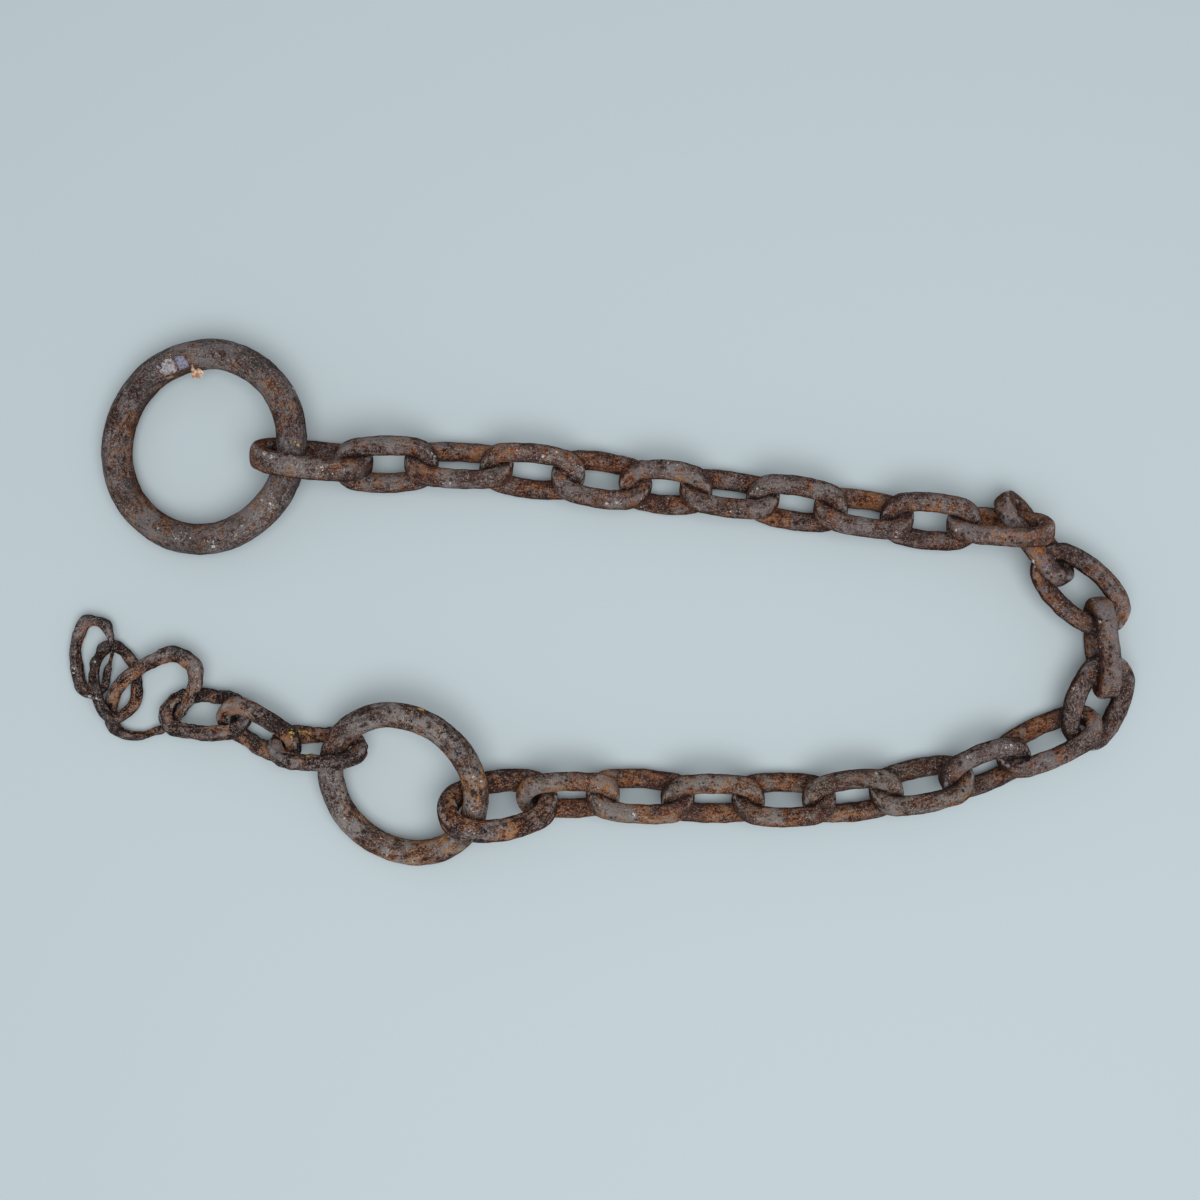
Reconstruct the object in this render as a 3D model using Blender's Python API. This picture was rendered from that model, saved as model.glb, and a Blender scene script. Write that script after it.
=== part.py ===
"""A rusty forged chain, laid down in a long U.

A large ring, a main chain of 24 links, a smaller oval ring and a tail of six thin, badly wasted links.
Every link and ring is one closed solid that hangs in its neighbours without touching them.
Lists are in millimetres and degrees; the model is in metres, +Z up, with its origin under its middle.
"""

import math

import bpy
from mathutils import Matrix, Vector

MM = 0.001

# Main chain: hand-forged links of 11 mm bar, thinner at the crowns where they wear on each other.
# BOW is how far a side bar bulges outwards, beyond the width that its crowns alone would have.
BAR = 11.0
CROWN = 9.8
LINK_WIDTH = 38.6
BOW = 1.3
CLEARANCE = 0.45

# Rings: long and short outer diameters, and the bar they are made of.
LARGE_RING = (129.4, 122.8, 18.0)
SMALL_RING = (106.8, 96.2, 15.0)

# A link lies rolled over on one of its bars: the angle of its face to the floor, and the height of its middle.
STEEP_ROLL = 51.0
EASY_ROLL = 45.0
JOINT_HEIGHT = 15.8

# Joints of the two straight rows, links 2 to 10 and 16 to 23, walked from the large ring: where link bears on link.
FAR_ROW = [
    (-147.3, 79.6, 21.2),
    (-105.2, 80.4, 18.4),
    (-61.1, 78.5, 16.8),
    (-18.9, 73.8, 14.8),
    (21.0, 68.3, 14.8),
    (56.6, 65.0, JOINT_HEIGHT),
    (96.1, 60.2, JOINT_HEIGHT),
    (136.2, 54.0, JOINT_HEIGHT),
    (175.0, 48.4, 17.2),
    (214.5, 44.3, 20.4),
]
NEAR_ROW = [
    (286.3, -73.6, 16.4),
    (244.6, -92.6, JOINT_HEIGHT),
    (211.0, -105.6, JOINT_HEIGHT),
    (169.2, -113.8, JOINT_HEIGHT),
    (129.4, -118.0, JOINT_HEIGHT),
    (87.6, -117.8, JOINT_HEIGHT),
    (45.7, -117.0, JOINT_HEIGHT),
    (1.8, -114.8, JOINT_HEIGHT),
    (-39.8, -115.8, 16.4),
]
FAR_ROLLS = {"even": EASY_ROLL, "odd": -STEEP_ROLL, 2: 41.0, 5: -34.0, 10: 39.0}
NEAR_ROLLS = {"even": STEEP_ROLL, "odd": -EASY_ROLL, 18: 49.0, 19: -40.0, 20: 48.0, 22: 47.0, 23: -49.0}

# Links that lie loose: name, outline (length, width, bar, crown, bow), middle, heading, pitch, roll.
LOOSE_LINKS = [
    ("link_01", (72.2, 47.6, 12.8, 12.0, 1.5), (-169.5, 82.4, 22.6), -5.8, -2.8, -70.4),
    ("link_11", (62.9, 38.4, 11.0, 9.8, 1.3), (234.5, 42.7, 25.7), -5.4, 15.0, -63.9),
    ("link_12", (65.5, 37.8, 11.0, 9.5, 1.4), (256.5, 36.4, 17.3), -51.9, -1.2, -61.9),
    ("link_13", (66.0, 39.8, 11.0, 9.8, 2.8), (283.2, 6.2, 17.8), -41.4, 1.8, 1.2),
    ("link_14", (60.5, 38.4, 11.8, 10.0, 1.3), (296.0, -27.9, 19.2), -84.5, 0.0, 88.0),
    ("link_15", (59.0, 38.8, 11.2, 9.5, 1.8), (294.0, -60.2, 15.9), 68.2, 1.7, 12.9),
    ("link_24", (72.0, 50.4, 12.8, 12.0, 2.8), (-59.9, -120.9, 21.9), 9.5, -11.0, -46.0),
]
TAIL_LINKS = [
    ("tail_link_01", (58.7, 36.8, 9.3, 9.0, 1.0), (-166.9, -87.8, 16.4), -2.6, 0.0, -58.0),
    ("tail_link_02", (54.5, 33.4, 9.4, 9.0, 1.2), (-201.6, -77.6, 12.4), -29.6, 0.0, 39.5),
    ("tail_link_03", (55.6, 32.2, 8.4, 8.0, 1.2), (-234.8, -67.9, 10.2), -3.5, 2.9, -25.0),
]

# Rings: name, sizes, middle, heading of the long diameter, pitch, roll.
RINGS = [
    ("large_ring", LARGE_RING, (-234.0, 90.5, 16.6), 52.0, 5.8, -5.2),
    ("small_ring", SMALL_RING, (-116.2, -108.6, 19.6), -36.5, 0.5, 16.6),
]

# Wasted links, bent out of any regular outline: points along the bar, each with the thickness left there.
WASTED_LINKS = {
    "tail_link_04": [
        (-256.0, -32.5, 12.0, 8.6),
        (-244.0, -36.0, 13.2, 8.4),
        (-239.2, -47.0, 14.8, 8.0),
        (-244.0, -60.5, 12.4, 6.6),
        (-253.8, -70.6, 4.4, 5.4),
        (-266.2, -79.0, 3.0, 4.4),
        (-278.4, -81.0, 3.0, 4.8),
        (-290.6, -76.0, 3.6, 7.0),
        (-292.3, -64.0, 4.2, 7.0),
        (-286.0, -51.5, 9.4, 7.4),
        (-271.0, -39.3, 11.8, 7.8),
    ],
    "tail_link_05": [
        (-290.0, -27.5, 3.4, 6.4),
        (-280.5, -35.5, 3.5, 6.0),
        (-277.2, -48.0, 3.6, 6.4),
        (-279.0, -62.5, 5.2, 6.4),
        (-287.5, -69.8, 10.7, 6.0),
        (-296.0, -64.0, 11.6, 6.2),
        (-300.5, -52.0, 10.7, 5.8),
        (-301.0, -40.0, 8.2, 5.6),
        (-297.5, -30.5, 4.8, 6.0),
    ],
    "tail_link_06": [
        (-313.0, -33.0, 3.6, 6.3),
        (-312.7, -43.5, 3.6, 6.3),
        (-309.5, -53.0, 3.5, 6.2),
        (-302.0, -56.5, 3.2, 5.0),
        (-296.0, -52.0, 3.4, 4.6),
        (-294.5, -43.5, 4.0, 4.2),
        (-291.3, -34.0, 7.2, 2.0),
        (-290.8, -27.0, 8.6, 1.8),
        (-292.6, -18.5, 7.8, 4.2),
        (-298.0, -13.0, 5.6, 5.6),
        (-307.5, -13.0, 3.9, 6.2),
        (-311.8, -21.0, 3.6, 6.3),
    ],
}

# Fineness of the solids.
CROWN_STEPS = 6
RING_STEPS = 30
WASTED_STEPS = 20
WIRE_SIDES = 8
RING_SIDES = 10

# Colours of the rust, as linear RGB, with roughness and metallic.
MATERIALS = {
    "ring_rust": ((0.075, 0.050, 0.042), 0.82, 0.15),
    "link_rust": ((0.085, 0.046, 0.034), 0.85, 0.10),
    "tail_rust": ((0.100, 0.050, 0.033), 0.92, 0.05),
}


def clear_scene():
    for thing in list(bpy.data.objects):
        bpy.data.objects.remove(thing, do_unlink=True)


def make_material(name):
    colour, roughness, metallic = MATERIALS[name]
    material = bpy.data.materials.new(name)
    material.use_nodes = True
    shader = material.node_tree.nodes["Principled BSDF"]
    shader.inputs["Base Color"].default_value = (*colour, 1.0)
    shader.inputs["Roughness"].default_value = roughness
    shader.inputs["Metallic"].default_value = metallic
    return material


def link_outline(length, width, bar, crown, bow):
    """Stations (x, y, z, thickness) round a link's middle line: crowns of one arc each, and bars bowed outwards."""
    bend = (width - bar) / 2 - bow
    spread = (length - crown) / 2 - bend
    sweep = math.pi / 2 - 2 * math.atan(bow / spread)
    stations = []
    for end in (1, -1):
        for step in range(CROWN_STEPS + 1):
            angle = sweep * (1 - 2 * step / CROWN_STEPS)
            thickness = bar + (crown - bar) * math.cos(angle) ** 2
            x = end * (spread + bend * math.cos(angle))
            stations.append((x, end * bend * math.sin(angle), 0.0, thickness))
        stations.append((0.0, -end * (bend + bow), 0.0, bar))
    return stations


def ring_outline(long_diameter, short_diameter, bar):
    """Stations round an oval ring's middle line."""
    stations = []
    for step in range(RING_STEPS):
        angle = 2 * math.pi * step / RING_STEPS
        x = (long_diameter - bar) / 2 * math.cos(angle)
        y = (short_diameter - bar) / 2 * math.sin(angle)
        stations.append((x, y, 0.0, bar))
    return stations


def smooth_loop(points, steps):
    """Stations read from a closed Catmull-Rom curve through the points."""
    knots = [Vector(point) for point in points]
    count = len(knots)
    stations = []
    for step in range(steps):
        place = step * count / steps
        i = int(place)
        t = place - i
        before, here, there, beyond = (knots[(i + k) % count] for k in (-1, 0, 1, 2))
        bend = 2 * before - 5 * here + 4 * there - beyond
        turn = 3 * here - before - 3 * there + beyond
        stations.append(tuple(here + (there - before) * (t / 2) + bend * (t * t / 2) + turn * (t ** 3 / 2)))
    return stations


def pose(middle, heading, pitch, roll):
    """Lays a flat outline in place: roll about its length, raise its far end by pitch, turn it to its heading."""
    turn = Matrix.Rotation(math.radians(heading), 4, "Z")
    raise_end = Matrix.Rotation(-math.radians(pitch), 4, "Y")
    roll_over = Matrix.Rotation(math.radians(roll), 4, "X")
    return Matrix.Translation(Vector(middle) * MM) @ turn @ raise_end @ roll_over


def make_wire(name, stations, sides, matrix, material, family):
    """One closed bar that follows the stations, as thick at each as it says."""
    curve = bpy.data.curves.new(name, "CURVE")
    curve.dimensions = "3D"
    curve.bevel_depth = MM
    curve.bevel_resolution = (sides - 4) // 2
    spline = curve.splines.new("POLY")
    spline.points.add(len(stations) - 1)
    for point, (x, y, z, thickness) in zip(spline.points, stations):
        point.co = (x * MM, y * MM, z * MM, 1.0)
        point.radius = thickness / 2
    spline.use_cyclic_u = True
    spline.use_smooth = True
    curve.materials.append(material)
    wire = bpy.data.objects.new(name, curve)
    family["collection"].objects.link(wire)
    wire.parent = family["origin"]
    wire.matrix_world = matrix
    return wire


def make_row(joints, first_number, rolls, material, family):
    """Links strung taut from joint to joint; even links raise their left bar and odd ones their right bar."""
    for index, (start, end) in enumerate(zip(joints, joints[1:])):
        number = first_number + index
        reach = Vector(end) - Vector(start)
        middle = (Vector(start) + Vector(end)) / 2
        heading = math.degrees(math.atan2(reach.y, reach.x))
        pitch = math.degrees(math.asin(reach.z / reach.length))
        outline = link_outline(reach.length + 2 * CROWN + CLEARANCE, LINK_WIDTH, BAR, CROWN, BOW)
        roll = rolls.get(number, rolls["even"] if number % 2 == 0 else rolls["odd"])
        place = pose(middle, heading, pitch, roll)
        make_wire(f"link_{number:02d}", outline, WIRE_SIDES, place, material, family)


def make_chain(family):
    ring_rust, link_rust, tail_rust = (make_material(name) for name in MATERIALS)
    for name, sizes, middle, heading, pitch, roll in RINGS:
        make_wire(name, ring_outline(*sizes), RING_SIDES, pose(middle, heading, pitch, roll), ring_rust, family)
    make_row(FAR_ROW, 2, FAR_ROLLS, link_rust, family)
    make_row(NEAR_ROW, 16, NEAR_ROLLS, link_rust, family)
    for material, links in ((link_rust, LOOSE_LINKS), (tail_rust, TAIL_LINKS)):
        for name, sizes, middle, heading, pitch, roll in links:
            place = pose(middle, heading, pitch, roll)
            make_wire(name, link_outline(*sizes), WIRE_SIDES, place, material, family)
    for name, points in WASTED_LINKS.items():
        make_wire(name, smooth_loop(points, WASTED_STEPS), WIRE_SIDES, Matrix(), tail_rust, family)


def centre_on_floor(family):
    """Moves the whole chain so that the middle of its underside is at the origin."""
    bpy.context.view_layer.update()
    view = bpy.context.evaluated_depsgraph_get()
    corners = []
    for wire in family["collection"].objects:
        if wire.type == "CURVE":
            shape = wire.evaluated_get(view)
            mesh = shape.to_mesh()
            corners.extend(wire.matrix_world @ vertex.co for vertex in mesh.vertices)
            shape.to_mesh_clear()
    low = Vector(min(corner[axis] for corner in corners) for axis in range(3))
    high = Vector(max(corner[axis] for corner in corners) for axis in range(3))
    family["origin"].location = (-(low.x + high.x) / 2, -(low.y + high.y) / 2, -low.z)
    bpy.context.view_layer.update()


def main():
    clear_scene()
    collection = bpy.data.collections.new("rusty_chain")
    bpy.context.scene.collection.children.link(collection)
    origin = bpy.data.objects.new("chain_origin", None)
    collection.objects.link(origin)
    family = {"collection": collection, "origin": origin}
    make_chain(family)
    centre_on_floor(family)


main()
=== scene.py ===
"""Looks of the rusty forged chain.

A pitted, worn mesh stands over every ring and link, and torn paper lies on the large ring. Each
piece is a bar swept round a closed line. Lists are in millimetres and degrees, as in the solids
they stand for.
"""

import math

import bpy
import numpy as np
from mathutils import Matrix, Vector


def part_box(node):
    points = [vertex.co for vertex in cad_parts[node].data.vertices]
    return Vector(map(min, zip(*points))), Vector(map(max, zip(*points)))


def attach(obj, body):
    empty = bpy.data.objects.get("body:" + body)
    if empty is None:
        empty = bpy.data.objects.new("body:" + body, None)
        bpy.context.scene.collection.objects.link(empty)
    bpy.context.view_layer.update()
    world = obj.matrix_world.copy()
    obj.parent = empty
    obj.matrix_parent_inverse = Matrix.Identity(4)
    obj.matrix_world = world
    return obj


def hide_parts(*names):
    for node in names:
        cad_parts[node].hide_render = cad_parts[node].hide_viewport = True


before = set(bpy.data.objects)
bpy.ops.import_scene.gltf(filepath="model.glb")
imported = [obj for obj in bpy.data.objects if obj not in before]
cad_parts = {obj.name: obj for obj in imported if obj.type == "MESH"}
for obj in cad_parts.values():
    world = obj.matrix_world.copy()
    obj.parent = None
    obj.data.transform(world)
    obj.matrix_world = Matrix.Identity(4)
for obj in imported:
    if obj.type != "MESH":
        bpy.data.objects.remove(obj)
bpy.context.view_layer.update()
MM = 0.001

# -------- the lay of the chain
# Regular links: gap where two bear on each other, width, bar, worn crown, and bow of the sides.
CLEARANCE = 0.45
LINK_WIDTH = 38.6
BAR = 11.0
CROWN = 9.8
BOW = 1.3

# Places where the regular links of a row meet, and the rolls of its even, odd and own links.
FAR_ROW = [
    (-147.3, 79.6, 21.2), (-105.2, 80.4, 18.4), (-61.1, 78.5, 16.8), (-18.9, 73.8, 14.8),
    (21, 68.3, 14.8), (56.6, 65, 15.8), (96.1, 60.2, 15.8), (136.2, 54, 15.8), (175, 48.4, 17.2),
    (214.5, 44.3, 20.4),
]
NEAR_ROW = [
    (286.3, -73.6, 16.4), (244.6, -92.6, 15.8), (211, -105.6, 15.8), (169.2, -113.8, 15.8),
    (129.4, -118, 15.8), (87.6, -117.8, 15.8), (45.7, -117, 15.8), (1.8, -114.8, 15.8),
    (-39.8, -115.8, 16.4),
]
FAR_ROLLS = {"even": 45, "odd": -51, 2: 41, 5: -34, 10: 39.0}
NEAR_ROLLS = {"even": 51, "odd": -45, 18: 49, 19: -40, 20: 48, 22: 47, 23: -49.0}

# Name, outline (length, width, bar, crown, bow), middle, heading, pitch, roll.
LOOSE_LINKS = [
    ("link_01", (72.2, 47.6, 12.8, 12, 1.5), (-169.5, 82.4, 22.6), -5.8, -2.8, -70.4),
    ("link_11", (62.9, 38.4, 11, 9.8, 1.3), (234.5, 42.7, 25.7), -5.4, 15, -63.9),
    ("link_12", (65.5, 37.8, 11, 9.5, 1.4), (256.5, 36.4, 17.3), -51.9, -1.2, -61.9),
    ("link_13", (66, 39.8, 11, 9.8, 2.8), (283.2, 6.2, 17.8), -41.4, 1.8, 1.2),
    ("link_14", (60.5, 38.4, 11.8, 10, 1.3), (296, -27.9, 19.2), -84.5, 0, 88),
    ("link_15", (59, 38.8, 11.2, 9.5, 1.8), (294, -60.2, 15.9), 68.2, 1.7, 12.9),
    ("link_24", (72, 50.4, 12.8, 12, 2.8), (-59.9, -120.9, 21.9), 9.5, -11, -46),
    ("tail_link_01", (58.7, 36.8, 9.3, 9, 1), (-166.9, -87.8, 16.4), -2.6, 0, -58),
    ("tail_link_02", (54.5, 33.4, 9.4, 9, 1.2), (-201.6, -77.6, 12.4), -29.6, 0, 39.5),
    ("tail_link_03", (55.6, 32.2, 8.4, 8, 1.2), (-234.8, -67.9, 10.2), -3.5, 2.9, -25),
]

# Name, (long and short diameters, bar), middle, heading of the long diameter, pitch, roll.
RINGS = [
    ("large_ring", (129.4, 122.8, 18), (-234, 90.5, 16.6), 52, 5.8, -5.2),
    ("small_ring", (106.8, 96.2, 15), (-116.2, -108.6, 19.6), -36.5, 0.5, 16.6),
]

# Points (x, y, z, thickness) along the bars of links that have lost their regular outline.
WASTED_LINKS = {
    "tail_link_04": [
        (-256, -32.5, 12, 8.6), (-244, -36, 13.2, 8.4), (-239.2, -47, 14.8, 8),
        (-244, -60.5, 12.4, 6.6), (-253.8, -70.6, 4.4, 5.4), (-266.2, -79, 3, 4.4),
        (-278.4, -81, 3, 4.8), (-290.6, -76, 3.6, 7), (-292.3, -64, 4.2, 7),
        (-286, -51.5, 9.4, 7.4), (-271, -39.3, 11.8, 7.8),
    ],
    "tail_link_05": [
        (-290, -27.5, 3.4, 6.4), (-280.5, -35.5, 3.5, 6), (-277.2, -48, 3.6, 6.4),
        (-279, -62.5, 5.2, 6.4), (-287.5, -69.8, 10.7, 6), (-296, -64, 11.6, 6.2),
        (-300.5, -52, 10.7, 5.8), (-301, -40, 8.2, 5.6), (-297.5, -30.5, 4.8, 6),
    ],
    "tail_link_06": [
        (-313, -33, 3.6, 6.3), (-312.7, -43.5, 3.6, 6.3), (-309.5, -53, 3.5, 6.2),
        (-302, -56.5, 3.2, 5), (-296, -52, 3.4, 4.6), (-294.5, -43.5, 4, 4.2),
        (-291.3, -34, 7.2, 2), (-290.8, -27, 8.6, 1.8), (-292.6, -18.5, 7.8, 4.2),
        (-298, -13, 5.6, 5.6), (-307.5, -13, 3.9, 6.2), (-311.8, -21, 3.6, 6.3),
    ],
}

# Specks of lime, which also stand for painted glints, and of blue and yellow paint, by radius: (x,
# y), and for a stroke its other end.
# They are placed on the floor's plane, as seen from this height over the middle of the chain.
EYE_HEIGHT = 1080.0
SPECKS = {
    "lime_and_glints": {
        0.5: [(252.6, -86.6)],
        0.6: [
            (-160, 76), (-154, 78), (-101, 88), (41, 82), (41, 61), (93, 64), (243.6, -88.4),
            (250.4, -89), (-241, -51), (-303, -37), (-196, -80), (-199, 55), (-205, 56),
            (-198, 148),
        ],
        0.7: [
            (-50, 90), (-50, 88), (-31, 85), (-26, 89), (-13, 81), (13, 58), (25, 61), (78, 53),
            (241, -86.5), (-76, -127), (-76, -140), (-156, -127), (-235, 35), (-232, 35),
            (-265, 43), (-246, 37),
        ],
        0.8: [
            (-94, 70), (-90, 70), (25, 56), (46, 81), (94, 67), (178, 38), (261, 20), (300, -22),
            (300, -28), (223, -94), (-35, -103), (-76, -106), (-77, -125), (0, -123), (-131, -143),
            (-153, -131), (-316, -44), (-241.6, -41.7), (-210, -66), (-198, 58), (-196, 56),
            (-184, 127),
        ],
        0.9: [
            (-166, 78), (-103, 89), (-99, 86), (243, 52), (278, -62), (277, -78), (210, -106),
            (-8, -109), (-78, -139), (-302, -59), (-242.5, -46.3), (-203, 60), (-215, 45),
            (-254, 37), (-216, 150),
        ],
        1: [(-34, 86), (-10, 78), (4, 58), (-37, -102), (-128, -153), (-258, 146.4)],
        1.1: [
            (-167, 80), (10, 58), (284, -53), (246.8, -87.2), (166, -104), (-71, -109), (-249, -66),
        ],
        1.2: [
            (-11, 80), (214, 42), (300, -13), (221, -94), (-2, -113), (20, -129), (-316, -41),
            (-232, 32),
        ],
        1.3: [(-201, 88), (-197, 86), (179, 40), (260, 23)],
        1.4: [(-46, -100)],
        1.6: [(-306, -58)],
    },
    "blue": {
        0.7: [(266.5, 20)],
        1: [(268, 21.5)],
    },
    "gold": {
        0.6: [
            (-182, -78.9, -176.6, -78.6), (-176.6, -78.6, -174.2, -79.8), (-104.4, -66.2),
            (-183, 95),
        ],
        0.7: [(-175.4, -93.8, -173.2, -93.9)],
        0.8: [(-113, -67)],
        0.9: [(-187, -79.8, -183.4, -79.8), (-185.2, -77.8, -185, -82.6)],
        1: [(-108, -65, -106.4, -65.6), (-112, -157)],
        1.1: [(-181, 93), (-219, 39)],
    },
}

# Scraps of paper stuck on the large ring: outline, placed as the specks are, crumple in mm, and
# the finish's name.
PAPERS = {
    "blue": ([
        (-255.4, 146.5), (-249.7, 146.6), (-249, 144.4), (-247.9, 143.6), (-246.2, 140.2),
        (-249.7, 138.5), (-252, 137.8), (-253, 139.5), (-253.9, 142.1), (-255, 144.7),
    ], 0.25, "blue_paper"),
    "pale": ([
        (-260.6, 144.4), (-257.2, 145.1), (-255.9, 143.6), (-254.1, 142.1), (-253.3, 139.5),
        (-253.7, 137.6), (-255.7, 135.7), (-260.6, 134.5), (-264, 136.1), (-264.4, 137.6),
        (-262.5, 139.1), (-263.4, 141.4), (-262, 142.5),
    ], 0.45, "pale_paper"),
    "flake": ([
        (-266.2, 141.4), (-264.6, 140.4), (-263.2, 139.5), (-264, 138.4), (-265.7, 139.3),
    ], 0.3, "pale_paper"),
    "hem": ([
        (-259.7, 134.1), (-255.9, 134.9), (-255.2, 133.6), (-257.2, 132.9), (-259.4, 132.5),
    ], 0.3, "brown_paper"),
    "crumb": ([
        (-244.5, 141.6), (-243.6, 139.9), (-242.6, 138.2), (-240, 139), (-237.7, 137.2),
        (-237.6, 136.1), (-238.9, 133.9), (-240.4, 132.7), (-242.6, 133.5), (-244.5, 133.1),
        (-245, 136.5), (-244.9, 139.5),
    ], 1, "peach_paper"),
}

# Lumps and worn hollows, where the iron stands out or has gone: (x, y, radius, height), placed
# as the specks are.
LUMPS = {
    "tail_link_01": [(-146, -99, 17, -1.5), (-172, -98, 14, -0.7), (-170, -70, 12, -0.5)],
    "tail_link_02": [(-191.4, -72.6, 15, -0.8), (-221.5, -74, 10, -0.6)],
    "tail_link_04": [(-239.4, -39.8, 9, 1.3)],
    "tail_link_05": [(-301.5, -27, 8, 1.1), (-283, -25, 7, 0.8)],
    "tail_link_06": [
        (-292.5, -12.8, 6, 1.8), (-309, -10, 7, 0.8), (-291.5, -31, 11, -0.35),
    ],
}

# Places where pits crowd together: (x, y, radius, amount), on whatever piece lies there.
PITTED = [
    (-114, -67, 14, 0.7), (-92, -80, 15, 1), (-80, -91, 14, 1), (-74, -106, 14, 0.9),
    (-77, -118, 10, 0.6), (-92, -131, 9, 0.7), (-84, -137, 10, 0.9), (-70, -139, 11, 0.9),
    (-54, -136, 10, 0.8), (-40, -131, 10, 0.9), (-48, -103, 12, 0.5), (273, 20, 14, 0.9),
    (300, -14, 12, 0.8), (302, -38, 12, 0.6), (292, 24, 14, 0.4), (262, -12, 14, 0.5),
    (238, 52, 10, 0.6), (-272, -42, 12, 0.5), (-292, -75, 12, 0.6), (-246, -76, 9, 0.8),
    (-193, -72, 10, 0.8), (-168, -96, 12, 0.5), (98, 62, 12, 0.5), (-60, 84, 14, 0.5),
    (-104, 84, 14, 0.6), (8, 78, 10, 0.5),
]

# Places scuffed with fine pale scratches: (x, y, radius, amount).
SCUFFS = [
    (-232, 33, 9, 1), (-198, 57, 11, 1), (-252, 38, 9, 0.8), (-204, 47, 9, 0.8), (-216, 38, 9, 0.9),
    (-199, 87, 8, 0.9), (-182, 82, 12, 0.9), (-166, 78, 12, 1), (-13, 79, 10, 1), (-49, 90, 7, 0.8),
    (-34, 85, 9, 0.8), (8, 58, 11, 0.9), (-67, 74, 10, 0.8), (-21, 72, 12, 0.7), (42, 82, 10, 0.6),
    (96, 66, 9, 0.7), (243, -88, 12, 1), (285, -53, 10, 0.8), (301, -19, 8, 0.9), (270, 19, 8, 0.8),
    (-73, -106, 11, 1), (-77, -125, 11, 0.9), (-114, -69, 11, 0.7), (-154, -130, 12, 1),
    (-162, -111, 12, 0.9), (-129, -152, 10, 0.8), (-80, -141, 11, 1), (-3, -118, 9, 0.7),
    (-42, -103, 12, 0.8), (20, -129, 8, 0.6), (-242, -44, 10, 1), (-250, -65, 7, 1),
    (-247, -78, 9, 0.9), (-286, -80, 9, 0.7), (-316, -42, 8, 0.9), (-302, -62, 9, 0.9),
    (-210, -66, 8, 0.5), (-178, -95, 10, 0.5), (-100, 88, 9, 0.7), (-92, 70, 9, 0.7),
    (214, 43, 8, 0.7), (179, 40, 9, 0.7),
]

# Broad patches (x, y, radius, amount) that are lighter or darker ("shade"), or more or less
# orange ("warmth"), than the rest of their piece.
PATCHES = {
    "small_ring": {
        "shade": [
            (-86, -141, 22, 1.6), (-104, -64, 24, -1.4), (-150, -78, 22, -1.1),
            (-161, -98, 16, -0.8), (-75, -98, 18, 1.5), (-75, -121, 16, -0.9),
        ],
        "warmth": [
            (-100, -155, 34, 1.3), (-130, -153, 18, 1.2), (-86, -142, 18, 0.6),
            (-72, -130, 22, 0.9), (-158, -124, 24, -1.3), (-150, -142, 18, -0.6),
            (-140, -76, 22, -0.8), (-86, -80, 18, 0.3), (-74, -106, 16, 0.3),
        ],
    },
    "large_ring": {
        "shade": [
            (-182, 107, 28, -1.5), (-292, 107, 30, -2.5), (-292, 78, 24, -0.7),
            (-278, 133, 24, -0.8), (-197, 133, 24, -0.7), (-185, 79, 22, 0.5), (-278, 52, 26, 0.7),
            (-252, 37, 24, 0.3), (-200, 50, 26, 0.5),
        ],
        "warmth": [
            (-262, 36, 26, 0.3), (-205, 146, 26, -0.3), (-292, 60, 24, 0.3), (-276, 131, 24, -1.1),
            (-185, 92, 28, -0.8), (-276, 54, 22, 0.6), (-199, 54, 22, 0.5),
        ],
    },
}

# How much lighter and more orange each piece is than its family, in spreads of the noise, in
# order along the chain.
ORDER = (
    ["large_ring"] + [f"link_{k:02d}" for k in range(1, 25)] + ["small_ring"]
    + [f"tail_link_{k:02d}" for k in range(1, 7)])
SHADES = dict(zip(ORDER, [
    (0.3, -0.4), (-0.58, 0.48), (-0.51, -0.97), (-0.26, 0.35), (-0.82, 0.31), (-0.53, 0.28),
    (-0.64, 0.31), (-1.08, 0.24), (-1.06, 0), (-0.23, 0.62), (-0.57, -0.27), (0.39, 1.09),
    (-0.05, 0.24), (-0.59, 0.48), (0.62, 0.62), (-1.03, -0.89), (-0.4, 0.41), (-0.49, -0.44),
    (-0.78, -0.71), (-0.62, -0.48), (-0.97, 0.37), (-0.36, 1.05), (-0.05, 0.95), (-0.07, 0.95),
    (-1.29, 1.29), (0.2, 0), (0.16, 0.35), (-0.27, 1.86), (-1.45, 1.06), (-0.2, 0.87),
    (-1.97, 1.84), (-0.52, -0.6),
]))

# -------- how worn each piece is
# Lengths in mm. Swell: unevenness of the forging. Crust: small bumps. Facets: slope of sharp-edged
# hollows. Pits: share of the scattered seeds that are pits. Wander and waves: how far, and in what
# waves, the bar strays. Squeeze: share by which worn crowns spread. Limit: the highest bump.
WEAR_KEYS = (
    "swell", "crust", "facets", "pits", "depth", "pit_size", "wander", "waves", "squeeze", "limit",
)
WEAR = {
    "large_ring": (0.28, 0.16, 0.05, 0.05, 0.25, 3.6, 0.3, 24, 0.24, 0.35),
    "small_ring": (0.28, 0.16, 0.05, 0.42, 0.4, 3.6, 0.3, 24, 0.24, 0.35),
    "far": (0.34, 0.14, 0.07, 0.16, 0.32, 3.6, 0.35, 24, 0.24, 0.35),
    "turn": (0.36, 0.16, 0.08, 0.46, 0.45, 4, 0.4, 24, 0.24, 0.35),
    "near": (0.34, 0.15, 0.07, 0.3, 0.36, 3.2, 0.35, 24, 0.24, 0.35),
    "link_24": (0.36, 0.16, 0.08, 0.5, 0.5, 4.2, 0.4, 24, 0.24, 0.35),
    "tail": (0.85, 0.18, 0.24, 0.3, 0.4, 3.4, 0.7, 13, 0.1, 0.6),
}
LAST_FAR, LAST_TURN = 10, 17


def wear_family(name):
    """Which entry of WEAR a piece follows."""
    if name in WEAR:
        return name
    if name.startswith("tail"):
        return "tail"
    number = int(name.split("_")[1])
    if number <= LAST_FAR:
        return "far"
    return "turn" if number <= LAST_TURN else "near"


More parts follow.
